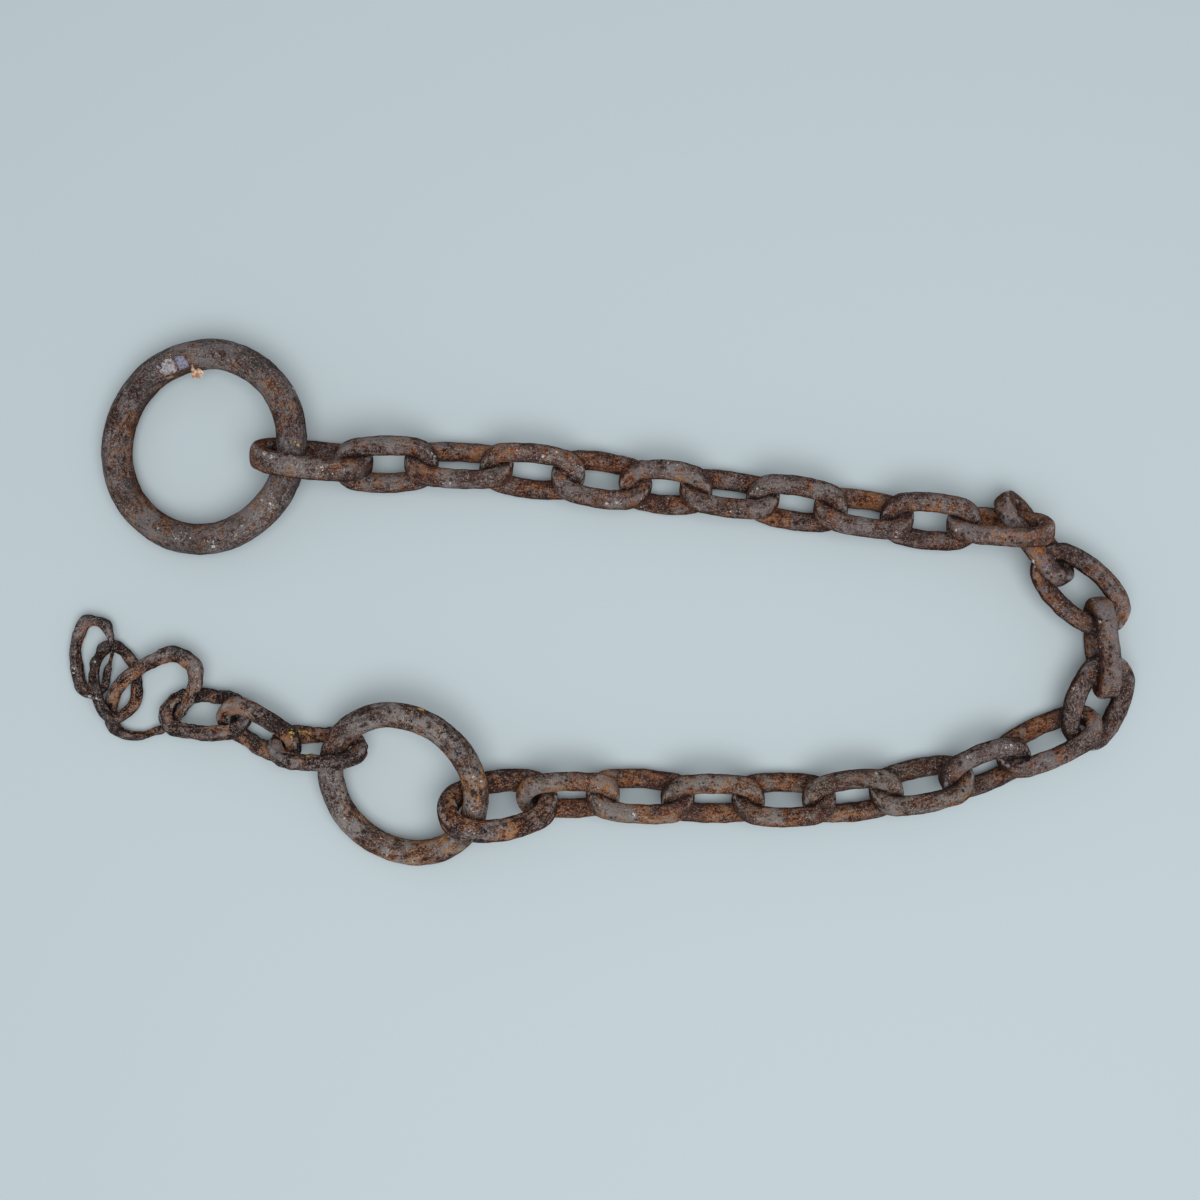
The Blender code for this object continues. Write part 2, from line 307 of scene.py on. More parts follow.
# -------- centre lines
# Points along a piece's line, and round its bar.
LINK_GRID = (240, 56)
TAIL_GRID = (250, 52)
RING_GRID = {"large_ring": (520, 84), "small_ring": (420, 72)}


def turns(count):
    """Angles evenly spaced round a full turn."""
    return np.arange(count) / count * 2 * math.pi


def rotation(heading, pitch, roll):
    """Matrix that rolls a piece about its length, then pitches it, then turns it to its heading."""
    h, p, r = (math.radians(a) for a in (heading, pitch, roll))
    turn = np.array([[math.cos(h), -math.sin(h), 0], [math.sin(h), math.cos(h), 0], [0, 0, 1]])
    tip = np.array([[math.cos(p), 0, -math.sin(p)], [0, 1, 0], [math.sin(p), 0, math.cos(p)]])
    over = np.array([[1, 0, 0], [0, math.cos(r), -math.sin(r)], [0, math.sin(r), math.cos(r)]])
    return turn @ tip @ over


def link_line(length, width, bar, crown, bow, count):
    """Evenly spaced rows (x, y, 0, thickness, crown share) round a link.

    Its outline is two round crowns joined by two bowed bars.
    """
    bend = (width - bar) / 2 - bow
    spread = (length - crown) / 2 - bend
    lean = 2 * math.atan(bow / spread)
    long_radius = bend + spread / math.sin(lean)
    crown_arc = (math.pi - 2 * lean) * bend
    half = crown_arc + 2 * lean * long_radius
    rows = []
    for place in np.arange(count) / count * 2 * half:
        side, rest = (1, place) if place < half else (-1, place - half)
        if rest < crown_arc:
            angle = math.pi / 2 - lean - rest / bend
            x, y = spread + bend * math.cos(angle), bend * math.sin(angle)
            share = math.cos(angle) ** 2
        else:
            angle = lean - (rest - crown_arc) / long_radius
            x = long_radius * math.sin(angle)
            y = spread / math.tan(lean) - long_radius * math.cos(angle)
            share = 0
        rows.append((side * x, side * y, 0, bar + (crown - bar) * share, share))
    return np.array(rows)


def ring_line(long_diameter, short_diameter, bar, angle):
    """Rows at the given angles round an oval ring."""
    x = (long_diameter - bar) / 2 * np.cos(angle)
    y = (short_diameter - bar) / 2 * np.sin(angle)
    return np.stack([x, y, 0 * x, 0 * x + bar, 0 * x], 1)


def loop_line(points, count):
    """Rows read from a closed Catmull-Rom curve."""
    knots = np.array(points)
    place = np.arange(count) / count * len(knots)
    i = place.astype(int)
    t = (place - i)[:, None]
    p = [knots[(i + k) % len(knots)] for k in (-1, 0, 1, 2)]
    bend = 2 * p[0] - 5 * p[1] + 4 * p[2] - p[3]
    turn = 3 * p[1] - p[0] - 3 * p[2] + p[3]
    line = p[1] + (p[2] - p[0]) * t / 2 + bend * t * t / 2 + turn * t ** 3 / 2
    return np.hstack([line, np.zeros((count, 1))])


def laid(line, middle, heading, pitch, roll):
    """A flat line's rows, turned and moved to where the piece lies."""
    placed = line.copy()
    placed[:, :3] = line[:, :3] @ rotation(heading, pitch, roll).T + np.array(middle)
    return placed


def row_lines(joints, first, rolls, count):
    """Name and line of each regular link between the joints of a row."""
    for number, (start, end) in enumerate(zip(joints, joints[1:]), first):
        reach = np.array(end) - np.array(start)
        span = float(np.linalg.norm(reach))
        heading = math.degrees(math.atan2(reach[1], reach[0]))
        pitch = math.degrees(math.asin(reach[2] / span))
        roll = rolls.get(number, rolls["even"] if number % 2 == 0 else rolls["odd"])
        line = link_line(span + 2 * CROWN + CLEARANCE, LINK_WIDTH, BAR, CROWN, BOW, count)
        middle = (np.array(start) + np.array(end)) / 2
        yield f"link_{number:02d}", laid(line, middle, heading, pitch, roll)


def all_lines():
    """Every piece's name, centre line and number of points round its bar."""
    for joints, first, rolls in ((FAR_ROW, 2, FAR_ROLLS), (NEAR_ROW, 16, NEAR_ROLLS)):
        for name, line in row_lines(joints, first, rolls, LINK_GRID[0]):
            yield name, line, LINK_GRID[1]
    for name, sizes, *place in LOOSE_LINKS:
        along, around = TAIL_GRID if name.startswith("tail") else LINK_GRID
        yield name, laid(link_line(*sizes, along), *place), around
    for name, sizes, *place in RINGS:
        along, around = RING_GRID[name]
        yield name, laid(ring_line(*sizes, turns(along)), *place), around
    for name, points in WASTED_LINKS.items():
        yield name, loop_line(points, TAIL_GRID[0]), TAIL_GRID[1]


# -------- noise
# Multipliers that scramble whole numbers, and the bits that are kept.
SCRAMBLES = (374761393, 668265263, 2147483647, 1274126177, 2246822519)
WORD, FRACTION = 0xFFFFFFFF, 0xFFFFFF
# Shift, in cells, that keeps cells' numbers above zero, and steps from one seed to another.
CELL_SHIFT, OCTAVE_STEP, PICK_STEP = 1000, 17, 7


def lattice(ix, iy, iz, seed):
    """A number from 0 to 1 for each corner of a grid, the same on every run."""
    x_factor, y_factor, z_factor, factor, last_factor = SCRAMBLES
    h = (ix * x_factor + iy * y_factor + iz * z_factor + seed * factor) & WORD
    h = ((h ^ (h >> 13)) * factor) & WORD
    h = ((h ^ (h >> 16)) * last_factor) & WORD
    return ((h ^ (h >> 15)) & FRACTION) / float(FRACTION)


def noise(points, size, seed):
    """Smooth noise from 0 to 1 at each point; size is the width of its cells, in mm."""
    q = points / size + CELL_SHIFT
    base = np.floor(q).astype(np.int64)
    f = q - base
    f = f * f * f * (f * (f * 6 - 15) + 10)
    total = 0
    for dx in (0, 1):
        wx = f[:, 0] if dx else 1 - f[:, 0]
        for dy in (0, 1):
            wy = f[:, 1] if dy else 1 - f[:, 1]
            for dz in (0, 1):
                wz = f[:, 2] if dz else 1 - f[:, 2]
                corner = lattice(base[:, 0] + dx, base[:, 1] + dy, base[:, 2] + dz, seed)
                total = total + wx * wy * wz * corner
    return total


def cloud(points, size, seed, octaves):
    """Noise from 0 to 1 with finer and fainter octaves added to it."""
    total, weight = 0, 0
    for k in range(octaves):
        total = total + noise(points, size / 2 ** k, seed + OCTAVE_STEP * k) * 0.5 ** k
        weight += 0.5 ** k
    return total / weight


def cells(points, size, seed):
    """Distance in mm from each point to the nearest of a scatter of seeds, and its own number."""
    q = points / size + CELL_SHIFT
    base = np.floor(q).astype(np.int64)
    nearest = np.full(len(points), np.inf)
    pick = np.zeros(len(points))
    for dx in (-1, 0, 1):
        for dy in (-1, 0, 1):
            for dz in (-1, 0, 1):
                c = base + np.array([dx, dy, dz])
                spot = np.stack([lattice(*c.T, seed + k) for k in range(3)], 1)
                d = np.sqrt(((c + spot - q) ** 2).sum(1))
                closer = d < nearest
                nearest = np.where(closer, d, nearest)
                pick = np.where(closer, lattice(*c.T, seed + PICK_STEP), pick)
    return nearest * size, pick


def ramp(value, low, high):
    """Smooth step from 0 at low to 1 at high, where high may be the lesser."""
    t = np.clip((value - low) / (high - low), 0, 1)
    return t * t * (3 - 2 * t)


# -------- the meshes
# Least height of a point over the floor, and the move from the lists to the frame, in mm.
LIFT = 0.05
OFFSET = np.array(sum(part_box("large_ring"), Vector()) / 2) / MM - np.array(RINGS[0][2])

# Shifts, in mm times a piece's number, that give it noise of its own.
LINE_SHIFT, SKIN_SHIFT, STRING_SHIFT, STREAK_SHIFT = 37.1, 61.7, 3.3, 5.3

# Noises of the forging: size of the cells in mm, seed, octaves.
SWELLS = (16, 3, 2)
FLATS = (8, 5, 2)
CRUST = (2.4, 11, 3)
FACETS = (8.5, 51)
FATNESS = (9, 4, 2)
STRINGS = (0.9, 21, 2)

# Their heights, and the levels they are measured from.
SWELL_HEIGHT, FLAT_HEIGHT, FLAT_LEVEL = 1.7, 1.6, 0.12
CRUST_HEIGHT, FACET_LEVEL = 1.8, 3.9
# The tail: mean thickness and how far it varies, in shares, and the strings of its iron.
FAT_MEAN, FAT_SWING = 0.98, 0.14
STRING_LENGTH, STRING_NUMBER, STRING_HEIGHT, STRING_LEVEL = 26, 1.3, 1.6, 0.3
# The deepest hollow: a share of the bar's radius, and this more in mm.
DEEPEST_SHARE, DEEPEST = 0.26, 0.2

# Power of a bar's cross section, where 2 is round and crowns add 1, and the shares by which an
# edge stands out from the round.
ROUND, SQUARED, TAIL_SQUARED = 2, 2.35, 0.3
EDGES = (1.03, 1.16)
CROWN_THINNED = 0.02

# Pits crowd in patches of this size, mm, between two levels of the noise.
PIT_PATCH, PIT_PATCH_SEED, PIT_LEVELS = 13, 41, (0.4, 0.64)
# Chance of a pit outside the patches, and what PITTED adds to it.
PIT_LEAST, PIT_CROWDED = 0.15, 2.4
# Large and small pits: size and chance in shares of the piece's own, and the scatter's seed.
PIT_KINDS = ((1, 1, 31), (0.55, 0.8, 37))
# Radius of a pit in shares of its size: the least, and what the largest add.
PIT_LEAST_RADIUS, PIT_MORE_RADIUS = 0.16, 0.3
# Ragged rims of the pits, and where, from rim to middle, the wall lies.
PIT_RIMS, PIT_SWING, PIT_RAGGED = (1.9, 43, 2), 0.9, 0.6
PIT_WALL = (-0.15, 0.75)

# Points measured at once, and how near a neighbour's box has to be, mm.
BATCH, NEAR = 2000, 15
# Ends of the mask of painted shade and dirt where pieces come near, and of the "high" mask, mm.
CLOSE, HIGH = (6, 0.5), (5, 27)
# Specks are this much wider than listed, as noise eats into their rims, and lie on upward faces.
SPECK_MARGIN, SPECK_FACING = 1.1, 0.1
# Streaks run along the bar, so their place along it is squeezed.
STREAK_SQUEEZE = 0.22


def cross_frames(line):
    """Outward and upward directions along a closed line."""
    xyz = line[:, :3]
    tangent = np.roll(xyz, -1, 0) - np.roll(xyz, 1, 0)
    tangent /= np.linalg.norm(tangent, axis=1)[:, None]
    centre = xyz.mean(0)
    normal = np.cross(xyz - centre, np.roll(xyz, -1, 0) - centre).sum(0)
    normal /= np.linalg.norm(normal)
    up = normal - tangent * (tangent @ normal)[:, None]
    up /= np.linalg.norm(up, axis=1)[:, None]
    out = np.cross(tangent, up)
    return (-out if ((xyz - centre) * out).sum() < 0 else out), up


def pitted(local, wear, seed, pitting):
    """How far inside a pit each point is, from -1 well outside to 1 in its middle."""
    patch = cloud(local, PIT_PATCH, PIT_PATCH_SEED + seed, 2)
    crowding = PIT_LEAST + ramp(patch, *PIT_LEVELS) + PIT_CROWDED * pitting
    chance = wear["pits"] * crowding
    warp = PIT_SWING * (cloud(local, *PIT_RIMS) - 0.5)
    result = np.full(len(local), -1)
    for scale, share, number in PIT_KINDS:
        size = scale * wear["pit_size"]
        distance, pick = cells(local, size, number)
        likely = np.maximum(chance * share, 0.02)
        grown = np.clip(1 - pick / likely, 0, 1)
        reach = size * (PIT_LEAST_RADIUS + PIT_MORE_RADIUS * grown)
        inside = (reach - distance + PIT_RAGGED * warp) / reach
        result = np.maximum(result, np.where(pick < chance * share, inside, -1))
    return np.clip(result, -1, 1)


def from_stroke(plan, x, y, x_end=None, y_end=None):
    """Distance of each place from a spot, or from a stroke between two points."""
    reach = np.array([0, 0] if x_end is None else [x_end - x, y_end - y])
    away = plan - np.array([x, y])
    share = np.clip(away @ reach / max(reach @ reach, 1e-9), 0, 1)
    return np.linalg.norm(away - share[:, None] * reach, axis=1)


def patches(plan, spots):
    """Sum of soft round patches: each is (x, y, radius, amount)."""
    total = np.zeros(len(plan))
    for x, y, size, amount in spots:
        total += amount * ramp(1 - from_stroke(plan, x, y) / size, 0, 1)
    return total


def gap_to(points, others):
    """Distance in mm from each point to the surface of the nearest of the other bars."""
    gap = np.empty(len(points))
    for start in range(0, len(points), BATCH):
        batch = points[start:start + BATCH]
        away = np.sqrt(((batch[:, None, :] - others[None, :, :3]) ** 2).sum(2))
        gap[start:start + BATCH] = (away - others[None, :, 3] / 2).min(1)
    return gap


def neighbours(name, lines):
    """Every second row of the centre lines that pass near one piece's own."""
    own = lines[name][:, :3]
    low, high = own.min(0) - NEAR, own.max(0) + NEAR
    near = []
    for other, line in lines.items():
        rows = line[::2, :4]
        xyz = rows[:, :3]
        if other != name and (xyz.min(0) < high).all() and (xyz.max(0) > low).all():
            near.append(rows)
    return np.vstack(near)


def seen_at(points):
    """Where each point is seen against the floor's plane, from over the middle of the chain."""
    return points[:, :2] / (1 - points[:, 2:] / EYE_HEIGHT)


def bar_section(line, cosine, sine, fat, family, squeeze):
    """How far each point of the bar's skin is from its line, and how sharp an edge it lies on."""
    # Crowns are worn thin, spread sideways and flattened, with an edge all round.
    crown = line[:, 4][:, None]
    half = (line[:, 3] / 2)[:, None]
    half_in = half * fat * (1 - CROWN_THINNED * crown)
    half_across = half * fat * (1 + squeeze * crown)
    power = (ROUND if family.endswith("ring") else SQUARED) + crown
    if family == "tail":
        power = power + TAIL_SQUARED
    share_in, share_across = np.abs(cosine / half_in), np.abs(sine / half_across)
    squared = (share_in ** power + share_across ** power) ** (-1 / power)
    plain = 1 / np.sqrt((cosine / half_in) ** 2 + (sine / half_across) ** 2)
    return squared, ramp(squared / plain, *EDGES)


def forging(local, wear):
    """Relief in mm: long swells, flats left by the hammer, crust and sharp-edged hollows."""
    swell = cloud(local, *SWELLS) - 0.5
    flats = np.abs(cloud(local, *FLATS) - 0.5) - FLAT_LEVEL
    relief = wear["swell"] * (SWELL_HEIGHT * swell - FLAT_HEIGHT * flats)
    relief += wear["crust"] * CRUST_HEIGHT * (cloud(local, *CRUST) - 0.5)
    distance, _ = cells(local, *FACETS)
    return relief + wear["facets"] * (distance - FACET_LEVEL)


def shape(name, line, around, seed, others):
    """Grid of points on one piece's worn surface, with masks for its material."""
    family = wear_family(name)
    wear = dict(zip(WEAR_KEYS, WEAR[family]))
    tail = family == "tail"
    along = len(line)
    out, up = cross_frames(line)
    line = line.copy()
    shifted = line[:, :3] + seed * LINE_SHIFT
    for direction, number in ((out, 1), (up, 2)):
        sway = wear["wander"] * 2 * (cloud(shifted, wear["waves"], number, 2) - 0.5)
        line[:, :3] += direction * sway[:, None]

    cosine, sine = np.cos(turns(around)), np.sin(turns(around))
    # Unit circle round the bar, for every point.
    circle = np.tile(np.stack([cosine, sine, 0 * cosine], 1), (along, 1))
    centre = np.repeat(line[:, :3], around, 0)
    fat = 1
    if tail:
        fat = FAT_MEAN + FAT_SWING * 2 * (cloud(shifted, *FATNESS) - 0.5)[:, None]
    section, edge = bar_section(line, cosine, sine, fat, family, wear["squeeze"])
    direction = out[:, None, :] * cosine[:, None] + up[:, None, :] * sine[:, None]
    base = (line[:, None, :3] + direction * section[..., None]).reshape(-1, 3)
    direction = direction.reshape(-1, 3)
    local = base + seed * SKIN_SHIFT

    relief = forging(local, wear)
    if tail:
        # Ridges along the bar, where the iron has come away in strings.
        place = centre / STRING_LENGTH + STRING_NUMBER * circle + seed * STRING_SHIFT
        strings = np.abs(cloud(place, *STRINGS) - 0.5) * 2
        relief += STRING_HEIGHT * (STRING_LEVEL - strings)
    seen = seen_at(base)
    pitting = np.clip(patches(seen, PITTED), 0, 1)
    pit = pitted(local, wear, seed, pitting)
    relief -= wear["depth"] * ramp(pit, *PIT_WALL)
    radius = np.repeat(line[:, 3] / 2, around)
    relief = np.clip(relief, -DEEPEST_SHARE * radius - DEEPEST, wear["limit"])
    relief += patches(seen, LUMPS.get(name, []))
    points = base + direction * relief[:, None]
    points[:, 2] = np.maximum(points[:, 2], LIFT - OFFSET[2])

    masks = {
        "pit": pit,
        "rise": relief,
        "edge": edge.ravel(),
        "inner": -circle[:, 0],
        "crown": np.repeat(line[:, 4], around),
        "high": ramp(base[:, 2], *HIGH),
        "pitting": pitting,
        # Painted shade, and dirt, where another piece comes within a few mm.
        "contact_dirt_and_shade": ramp(gap_to(points, others), *CLOSE),
        "scuff": np.clip(patches(seen, SCUFFS), 0, 1),
        "streak": STREAK_SQUEEZE * centre + circle * radius[:, None] + seed * STREAK_SHIFT,
    }
    for mask, value in zip(("shade", "warmth"), SHADES[name]):
        masks[mask] = value + patches(seen, PATCHES.get(name, {}).get(mask, []))
    plan = seen_at(points)
    for mask, sizes in SPECKS.items():
        value = np.zeros(len(points))
        for size, spots in sizes.items():
            for spot in spots:
                value = np.maximum(value, 1 - from_stroke(plan, *spot) / (SPECK_MARGIN * size))
        masks[mask] = np.where(direction[:, 2] > SPECK_FACING, value, 0)
    return points + OFFSET, masks


def put_mask(mesh, name, values):
    """Store a number or a vector for each of a mesh's points."""
    kind, field = ("FLOAT", "value") if values.ndim == 1 else ("FLOAT_VECTOR", "vector")
    attribute = mesh.attributes.new(name, kind, "POINT")
    attribute.data.foreach_set(field, values.astype(np.float32).ravel())


def grid_mesh(name, points, along, around, masks):
    """Closed mesh of a bar from its grid of points, facing outward."""
    i, j = np.meshgrid(np.arange(along), np.arange(around), indexing="ij")
    i2, j2 = (i + 1) % along, (j + 1) % around
    corners = [i * around + j, i2 * around + j, i2 * around + j2, i * around + j2]
    quads = np.stack(corners, -1).reshape(-1, 4)
    a, b, c = (points[quads[:, k]] for k in (0, 1, 2))
    if (np.cross(a, b) * c).sum() < 0:
        quads = quads[:, ::-1]
    mesh = bpy.data.meshes.new(name)
    mesh.vertices.add(len(points))
    mesh.vertices.foreach_set("co", (points * MM).astype(np.float32).ravel())
    mesh.loops.add(len(quads) * 4)
    mesh.loops.foreach_set("vertex_index", quads.astype(np.int32).ravel())
    mesh.polygons.add(len(quads))
    starts = np.arange(0, len(quads) * 4, 4, dtype=np.int32)
    mesh.polygons.foreach_set("loop_start", starts)
    mesh.polygons.foreach_set("loop_total", np.full(len(quads), 4, dtype=np.int32))
    mesh.polygons.foreach_set("use_smooth", np.ones(len(quads), dtype=bool))
    mesh.update(calc_edges=True)
    mesh.validate()
    for mask, values in masks.items():
        put_mask(mesh, mask, values)
    return mesh


# -------- materials
class Nodes:
    """Short calls for building a shader."""

    def __init__(self, name):
        self.material = bpy.data.materials.new(name)
        self.material.use_nodes = True
        self.tree = self.material.node_tree
        self.shader = self.tree.nodes["Principled BSDF"]
        self.place = self.add("ShaderNodeTexCoord").outputs["Object"]

    def add(self, kind, **settings):
        node = self.tree.nodes.new(kind)
        for key, value in settings.items():
            setattr(node, key, value)
        return node

    def put(self, socket, value):
        if isinstance(value, bpy.types.NodeSocket):
            self.tree.links.new(value, socket)
        elif isinstance(value, tuple) and len(value) == 3 and socket.type == "RGBA":
            socket.default_value = (*value, 1)
        else:
            socket.default_value = value

    def noise(self, scale, detail, roughness, distortion=0, shift=0, place=None):
        """Noise about 0, with a spread of about 1."""
        node = self.add("ShaderNodeTexNoise", noise_dimensions="4D")
        for key, value in (
                ("Vector", place or self.place), ("W", shift), ("Scale", scale),
                ("Detail", detail), ("Roughness", roughness), ("Distortion", distortion)):
            self.put(node.inputs[key], value)
        return self.sum((node.outputs["Fac"], NOISE_SPREAD, 0.5))

    def fed(self, kind, values, **settings):
        """First output of a new node whose first inputs are these values."""
        node = self.add(kind, **settings)
        for socket, value in zip(node.inputs, values):
            self.put(socket, value)
        return node.outputs[0]

    def ramp(self, value, low, high, to_low=0, to_high=1, kind="SMOOTHSTEP"):
        values = (value, low, high, to_low, to_high)
        return self.fed("ShaderNodeMapRange", values, interpolation_type=kind)

    def math(self, operation, *values):
        return self.fed("ShaderNodeMath", values, operation=operation)

    def times(self, a, b):
        return self.math("MULTIPLY", a, b)

    def sum(self, *terms):
        """Each (socket, weight) or (socket, weight, middle) adds weight x (socket - middle)."""
        total, constant = 0, 0
        for socket, weight, *middle in terms:
            constant -= weight * (middle[0] if middle else 0)
            total = self.math("MULTIPLY_ADD", socket, weight, total)
        return self.math("ADD", total, constant)

    def steps(self, value, places, colours):
        """Colours laid out in order of value, each at its own place."""
        node = self.add("ShaderNodeValToRGB")
        low, high = 2 * places[0], 2 * places[-1]
        self.put(node.inputs["Fac"], self.ramp(value, low, high, kind="LINEAR"))
        ramp = node.color_ramp
        while len(ramp.elements) < len(places):
            ramp.elements.new(0.5)
        for element, place, colour in zip(ramp.elements, places, colours):
            element.position = (place - low) / (high - low)
            element.color = (*colour, 1)
        return node.outputs["Color"]

    def mix(self, factor, a, b, blend="MIX"):
        node = self.add("ShaderNodeMix", data_type="RGBA", blend_type=blend)
        for key, value in (("Factor", factor), ("A", a), ("B", b)):
            self.put(node.inputs[key], value)
        return node.outputs["Result"]

    def mask(self, name):
        return self.add("ShaderNodeAttribute", attribute_name=name).outputs["Fac"]

    def bump(self, strength, distance, height):
        """Tilts the shader's normal by a height whose unit is this distance, in mm."""
        node = self.add("ShaderNodeBump")
        for key, value in (("Strength", strength), ("Distance", distance * MM), ("Height", height)):
            self.put(node.inputs[key], value)
        self.finish(Normal=node.outputs["Normal"])

    def finish(self, **values):
        """Set the shader's inputs by name, with _ for a space."""
        for key, value in values.items():
            self.put(self.shader.inputs[key.replace("_", " ")], value)


def srgb(*levels):
    """Linear colour of an everyday 0 to 255 one."""
    shares = (level / 255 for level in levels)
    return tuple(v / 12.92 if v <= 0.04045 else ((v + 0.055) / 1.055) ** 2.4 for v in shares)


# Blender's noise lies tightly round 0.5; this much brings its spread to about 1.
NOISE_SPREAD = 18

# Noises of the rust: scale per metre, detail, roughness, distortion and shift.
COARSE = (38, 3, 0.6, 0.3)
BLOTCH = (120, 4, 0.6, 0.5)
MOTTLE = (330, 4, 0.65, 0.3, 3)
FINE = (820, 3, 0.65, 0, 7)
GRAIN = (1900, 2, 0.6)
HUES = (
    (42, 3, 0.6, 0.3, 11), (105, 4, 0.6, 0.3, 13), (300, 4, 0.6, 0.3, 17),
    (800, 3, 0.6, 0.3, 19),
)
BLACK_SPOTS = (260, 3, 0.55, 0.4, 19)
CURLS = (200, 2, 0.5, 1.2, 23)
CURLED_PLACES = (50, 3, 0.6, 0, 29)
FINE_SCRATCHES = (420, 2, 0.5, 1.6, 53)
# The same along the bar, where the scale is per millimetre.
STREAKS = (0.42, 4, 0.6, 0.4, 37)
FINE_STREAKS = (1.4, 3, 0.6, 0.3, 41)

# Where, in spreads of the lightness noise, each of the five tones of a rust lies.
TONE_PLACES = (-1.8, -1, -0.3, 0.5, 1.5)
# How far a surface faces up, from not at all to fully.
TOP_FACING = (-0.15, 0.9)
# Hue noise at which the colour is fully cool and fully warm.
HUE_RANGE = (-1.5, 1.9)

SEAM_DIRT_AND_SHADE = srgb(24, 13, 10)
CURL_PALE = srgb(158, 150, 146)
SCUFF_PALE = srgb(184, 180, 176)
PAINTS = {"lime_and_glints": srgb(200, 196, 192), "gold": srgb(206, 172, 86), "blue": srgb(64, 92, 168)}


def rust(name, look):
    """Rusted iron: five tones by lightness, with painted shade, turned orange or grey, then pits,
    scratches, painted highlights and specks.
    """
    n = Nodes(name)
    tint, pale, black = (srgb(*look[key]) for key in ("tint", "light", "pit"))
    along_bar = n.add("ShaderNodeAttribute", attribute_name="streak").outputs["Vector"]
    streak, fine_streak = (n.noise(*kind, along_bar) for kind in (STREAKS, FINE_STREAKS))
    coarse, blotch, mottle, fine, grain = (
        n.noise(*kind) for kind in (COARSE, BLOTCH, MOTTLE, FINE, GRAIN))
    facing = n.add("ShaderNodeSeparateXYZ")
    n.put(facing.inputs[0], n.add("ShaderNodeNewGeometry").outputs["Normal"])
    top = n.ramp(facing.outputs["Z"], *TOP_FACING)
    high, inner, crown, rise, contact_dirt_and_shade = (
        n.mask(mask) for mask in ("high", "inner", "crown", "rise", "contact_dirt_and_shade"))

    light = n.sum(
        (coarse, look["broad"]), (blotch, look["blotch"]), (mottle, 0.32), (fine, 0.36),
        (grain, 0.3))
    light = n.sum((light, 1), (streak, 0.32), (fine_streak, 0.3))
    # Painted shade: the sides darker than the tops. Also darker lower down, and lighter where the
    # relief stands out.
    light = n.sum(
        (light, look["contrast"]), (top, look["painted_side_shade"], 0.78), (high, 0.6, 0.5), (rise, 0.7))
    # Painted shade on the faces turned into the loop, where a negative weight paints them lighter,
    # and painted shade where pieces come close.
    light = n.sum(
        (light, 1), (inner, -look["painted_inner_shade"]), (n.mask("shade"), 1), (contact_dirt_and_shade, -1.5))
    colour = n.steps(light, TONE_PLACES, [srgb(*tone) for tone in look["tones"]])
    # A dark line of dirt and painted shade where two pieces bear on each other.
    seam = n.sum((contact_dirt_and_shade, 1), (fine, 0.05), (mottle, 0.04))
    colour = n.mix(n.ramp(seam, 0.7, 0.98, 0, 0.85), colour, SEAM_DIRT_AND_SHADE)

    # Orange inside the loops, at the crowns and low down; grey on the worn tops.
    hue = n.sum(*((n.noise(*kind), share) for kind, share in zip(HUES, look["hues"])))
    hue = n.sum(
        (hue, 1), (top, look["top_hue"], 0.7), (high, -0.7, 0.5), (crown, 0.6, 0.3),
        (inner, look["inward"]))
    hue = n.sum((hue, 1), (n.mask("warmth"), 1), (light, -look["greying"], 0.6))
    hue = n.ramp(hue, *HUE_RANGE)
    colour = n.mix(1, colour, n.mix(hue, look["cool"], look["warm"]), "MULTIPLY")

    # Dull tint in broad patches.
    dull = n.ramp(n.sum((coarse, -1), (mottle, 0.5)), 0.3, 1.5)
    colour = n.mix(n.times(dull, look["tinting"]), colour, tint)

    # Light flecks.
    fleck = n.ramp(n.sum((fine, 0.5), (grain, 0.8)), 1, 2, 0, look["fleck"])
    colour = n.mix(n.times(fleck, n.ramp(top, 0.3, 0.9)), colour, pale)

    # Painted highlights on the ridges that face up.
    ridge_highlight = n.ramp(n.sum((rise, 1), (fine, 0.06)), 0.22, 0.6, 0, look["ridge_highlight"])
    colour = n.mix(n.times(ridge_highlight, n.ramp(top, 0.2, 0.8)), colour, pale)

    # Black spots and pits.
    spot = n.ramp(n.sum((n.noise(*BLACK_SPOTS), 1), (fine, 0.3)), 1.25, 2.1)
    spots = look["spots"]
    spot = n.times(spot, n.ramp(n.mask("pitting"), 0, 1, 0.4 * spots, 1.3 * spots))
    colour = n.mix(spot, colour, black)
    pit = n.sum((n.mask("pit"), 1), (mottle, 0.2), (fine, 0.24), (grain, 0.14))
    colour = n.mix(n.ramp(pit, -0.05, 0.45, 0, look["pit_strength"]), colour, black)

    # Crisp edges round the crowns are rubbed pale, and carry a painted highlight.
    rub_and_highlight = n.ramp(n.sum((mottle, 0.7), (fine, 0.4)), -0.6, 0.6)
    rub_and_highlight = n.times(n.ramp(n.mask("edge"), 0.5, 1), rub_and_highlight)
    colour = n.mix(n.times(rub_and_highlight, look["rub_and_highlight"]), colour, pale)

    # Curling pale scratches on the tops, in patches.
    curl = n.math("ABSOLUTE", n.noise(*CURLS))
    patch = n.ramp(n.sum((n.noise(*CURLED_PLACES), 1), (top, 1, 0.7)), 0.4, 1.2)
    scratch = n.times(n.ramp(curl, 0.3, 0.08), n.times(patch, n.ramp(fine, -0.6, 0.6)))
    colour = n.mix(n.times(scratch, look["scratch"]), colour, CURL_PALE)

    # Brighter, finer scratches where the iron is scuffed.
    line = n.math("ABSOLUTE", n.noise(*FINE_SCRATCHES))
    worn = n.ramp(n.sum((n.mask("scuff"), 1), (mottle, 0.2)), 0.15, 0.7)
    broken = n.ramp(n.sum((fine, 1), (grain, 0.6)), -0.3, 0.9)
    scuff = n.times(n.ramp(line, 0.34, 0.1), n.times(worn, broken))
    colour = n.mix(n.times(scuff, n.ramp(top, 0.35, 0.85, 0, 0.85)), colour, SCUFF_PALE)

